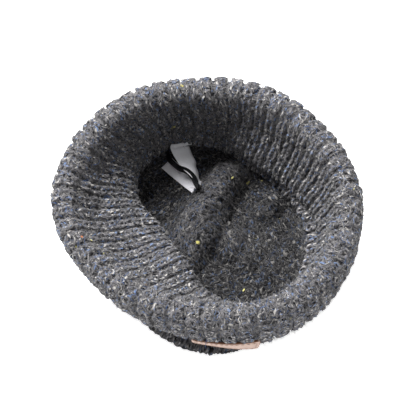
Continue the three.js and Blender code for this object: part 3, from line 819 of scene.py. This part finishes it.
def labelPiece(name, look):
    q, stations = clothLook, []
    for across, along, up, tip in look["line"]:
        x = hatForm["baseAside"] + across * hatForm["baseWidth"] / 2 + hatForm["shiftX"]
        y = hatForm["baseBack"] + along * hatForm["baseDepth"] / 2 + hatForm["shiftY"]
        stations.append(np.array([x, y, up * hatForm["rimRise"], math.radians(tip)]))
    line = np.array(smoothLine(stations, q["steps"]))
    middle = line[:, :3]
    ahead = runOf(middle)
    level = np.stack([-ahead[:, 1], ahead[:, 0], 0 * ahead[:, 0]], -1)
    level /= np.linalg.norm(level, axis=1, keepdims=True)
    upright = np.cross(ahead, level)
    wide = level * np.cos(line[:, 3:]) + upright * np.sin(line[:, 3:])
    if look["curl"]:  # the free end rolls over towards the front
        face = np.cross(ahead[-1], wide[-1])
        face *= 1 if face[2] > 0 else -1
        turn = np.radians(np.arange(20, 221, 20))[:, None]
        roll = look["curl"] * (np.sin(turn) * ahead[-1] + (1 - np.cos(turn)) * face)
        middle = np.concatenate([middle, middle[-1] + roll])
        wide = np.concatenate([wide, np.repeat(wide[-1:], len(turn), 0)])
        ahead = runOf(middle)
    thick = np.cross(ahead, wide)
    reach = np.concatenate([[0], np.cumsum(np.linalg.norm(np.diff(middle, axis=0), axis=1))])
    piece = gridPiece(name + "_cloth", q["across"], len(middle) - 1)
    mesh = piece.data
    flat = meshPlaces(mesh)
    u, v = flat[:, 0], (flat[:, 1] + 0.5) * (len(middle) - 1)
    i = np.clip(np.round(v).astype(int), 0, len(middle) - 1)
    ripple = q["ripple"] * np.sin(v * 0.7 + u * 2) + look["width"] * q["cup"] * (u * u * 4 - 0.5)
    places = middle[i] + wide[i] * u[:, None] * look["width"] + thick[i] * ripple[:, None]
    cloth = np.stack([u * look["width"] * 1000, reach[i] * 1000], -1)  # in millimetres
    loops = np.empty(len(mesh.loops), np.int32)
    mesh.loops.foreach_get("vertex_index", loops)
    mesh.vertices.foreach_set("co", places.astype(np.float32).ravel())
    mesh.uv_layers.active.name = "cloth"
    mesh.uv_layers["cloth"].data.foreach_set("uv", cloth[loops].astype(np.float32).ravel())
    applyModifier(piece, "SOLIDIFY", thickness=q["thick"], offset=0)
    mesh.polygons.foreach_set("use_smooth", np.full(len(mesh.polygons), True))
    mesh.materials.append(labelMaterial(name + "Cloth", look["colour"]))
    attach(piece, "root")
    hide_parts(name)
    print(name, "cut", look["length"], "hangs", round(float(reach[-1]), 4))


for name, look in labelLook.items():
    labelPiece(name, look)

stageLook = {
    "floor": 8.0, "paint": (0.9, 0.9, 0.9, 1), "white": (1, 1, 1, 1), "glow": 0.85, "air": 0.08,
    "target": (0.00144, 0.000175, 0.050), "distance": 0.5778, "elevation": 60.0, "lens": 80.0, "sensor": 36,
    "lights": {  # place, aim, size, power
        "keyLight": ((-0.46, 0.40, 1.15), (0, 0, 0.04), 0.6, 42),
        "topLight": ((0.1, -0.3, 1.2), (0, 0, 0.03), 1.0, 3),
        "frontLight": ((0.45, -1.0, 0.16), (0, 0, 0.03), 0.8, 3.2),
    },
}
bpy.ops.object.select_all(action="DESELECT")
bpy.ops.mesh.primitive_plane_add(size=stageLook["floor"])
floor = bpy.context.object
floor.name = "floor"
floorMaterial, tree, shader = startMaterial("paleFloor", Roughness=0.9)
shader.inputs["Base Color"].default_value = stageLook["paint"]
shader.inputs["Emission Color"].default_value = stageLook["white"]
shader.inputs["Emission Strength"].default_value = stageLook["glow"]
floor.data.materials.append(floorMaterial)

world = scene.world or bpy.data.worlds.new("studio")
scene.world = world
world.use_nodes = True
air = world.node_tree.nodes["Background"]
air.inputs["Color"].default_value = stageLook["white"]
air.inputs["Strength"].default_value = stageLook["air"]

for name, (place, aim, size, power) in stageLook["lights"].items():
    data = bpy.data.lights.new(name, "AREA")
    data.size, data.energy = size, power
    lamp = bpy.data.objects.new(name, data)
    scene.collection.objects.link(lamp)
    lamp.location = place
    lamp.rotation_euler = (Vector(aim) - Vector(place)).to_track_quat("-Z", "Y").to_euler()

cameraData = bpy.data.cameras.new("camera")
cameraData.lens, cameraData.sensor_width = stageLook["lens"], stageLook["sensor"]
cameraData.clip_start = 0.01
camera = bpy.data.objects.new("camera", cameraData)
scene.collection.objects.link(camera)
up = math.radians(stageLook["elevation"])
back = Vector((0, -math.cos(up), math.sin(up)))
camera.location = Vector(stageLook["target"]) + back * stageLook["distance"]
camera.rotation_euler = (math.pi / 2 - up, 0, 0)
scene.camera = camera
scene.view_settings.view_transform = "Standard"
print("stage set")
